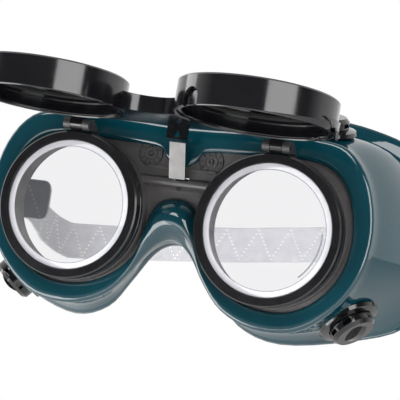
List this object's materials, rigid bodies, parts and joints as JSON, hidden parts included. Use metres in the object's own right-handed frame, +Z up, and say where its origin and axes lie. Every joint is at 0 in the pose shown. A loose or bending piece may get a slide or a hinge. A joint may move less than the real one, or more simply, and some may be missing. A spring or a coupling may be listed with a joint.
{
  "type": "welding goggles",
  "caption": "Flip-front cup goggles with a soft mask, clear inner lenses, a hinged dark lens unit, turning vents and an elastic headband.",
  "frame": {"origin": "the wearer's eye line at the middle of the face seat, level with the lens centres and 30 mm behind the front of the clear lenses", "axes": "+X to the wearer's left, +Y backwards into the face, +Z up; the flip unit is stored open, its cups pointing up"},
  "size_m": [0.1918, 0.2294, 0.0844],
  "materials": {
    "soft_mask": "glossy soft PVC, dark teal",
    "front_plate": "satin moulded black",
    "rubber": "matte black gasket",
    "clear_glass": "clear polished",
    "ring_plastic": "glossy black",
    "flip_plastic": "glossy black",
    "steel": "bright rolled steel",
    "shade_glass": "dark green polished",
    "vent_plastic": "semi-gloss black",
    "elastic": "woven elastic webbing with white zigzag stitch"
  },
  "bodies": {
    "mask": {"body_shell": "soft_mask", "front_plate": "front_plate", "clear_gasket_l": "rubber", "clear_gasket_r": "rubber", "clear_lens_l": "clear_glass", "clear_lens_r": "clear_glass", "hinge_pin_l": "steel", "hinge_pin_r": "steel", "detent_leaf": "steel", "leaf_rivet": "steel", "vent_base_ll": "vent_plastic", "vent_base_lr": "vent_plastic", "vent_base_ul": "vent_plastic", "vent_base_ur": "vent_plastic", "strap_anchor_l": "vent_plastic", "strap_anchor_r": "vent_plastic", "anchor_rivet_l": "steel", "anchor_rivet_r": "steel", "headband": "elastic"},
    "flip_unit": {"flip_frame": "flip_plastic", "shade_lens_l": "shade_glass", "shade_lens_r": "shade_glass", "shade_gasket_l": "rubber", "shade_gasket_r": "rubber"},
    "clear_ring_l": {"clear_ring_l": "ring_plastic"},
    "clear_ring_r": {"clear_ring_r": "ring_plastic"},
    "shade_ring_l": {"shade_ring_l": "flip_plastic"},
    "shade_ring_r": {"shade_ring_r": "flip_plastic"},
    "vent_cap_ll": {"vent_cap_ll": "vent_plastic"},
    "vent_cap_lr": {"vent_cap_lr": "vent_plastic"},
    "vent_cap_ul": {"vent_cap_ul": "vent_plastic"},
    "vent_cap_ur": {"vent_cap_ur": "vent_plastic"}
  },
  "joints": [
    {"name": "flip_hinge", "type": "hinge", "parent": "mask", "child": "flip_unit", "pos_m": [0, -0.0312, 0.029], "axis": [1, 0, 0], "range_deg": [0, 94]},
    {"name": "clear_ring_l_turn", "type": "hinge", "parent": "mask", "child": "clear_ring_l", "pos_m": [0.0373, -0.03, 0], "axis": [0, -1, 0], "range_deg": [0, 360]},
    {"name": "clear_ring_r_turn", "type": "hinge", "parent": "mask", "child": "clear_ring_r", "pos_m": [-0.0373, -0.03, 0], "axis": [0, -1, 0], "range_deg": [0, 360]},
    {"name": "shade_ring_l_turn", "type": "hinge", "parent": "flip_unit", "child": "shade_ring_l", "pos_m": [0.0373, -0.06, 0.03292], "axis": [0, 0.0698, 0.9976], "range_deg": [0, 360]},
    {"name": "shade_ring_r_turn", "type": "hinge", "parent": "flip_unit", "child": "shade_ring_r", "pos_m": [-0.0373, -0.06, 0.03292], "axis": [0, 0.0698, 0.9976], "range_deg": [0, 360]},
    {"name": "vent_ll_turn", "type": "hinge", "parent": "mask", "child": "vent_cap_ll", "pos_m": [0.06339, -0.00358, -0.02682], "axis": [0.6264, -0.2401, -0.7416], "range_deg": [0, 90]},
    {"name": "vent_lr_turn", "type": "hinge", "parent": "mask", "child": "vent_cap_lr", "pos_m": [-0.06339, -0.00358, -0.02682], "axis": [-0.6264, -0.2401, -0.7416], "range_deg": [0, 90]},
    {"name": "vent_ul_turn", "type": "hinge", "parent": "mask", "child": "vent_cap_ul", "pos_m": [0.04726, -0.00923, 0.03779], "axis": [0.0599, -0.2749, 0.9596], "range_deg": [0, 90]},
    {"name": "vent_ur_turn", "type": "hinge", "parent": "mask", "child": "vent_cap_ur", "pos_m": [-0.04726, -0.00923, 0.03779], "axis": [-0.0599, -0.2749, 0.9596], "range_deg": [0, 90]}
  ]
}
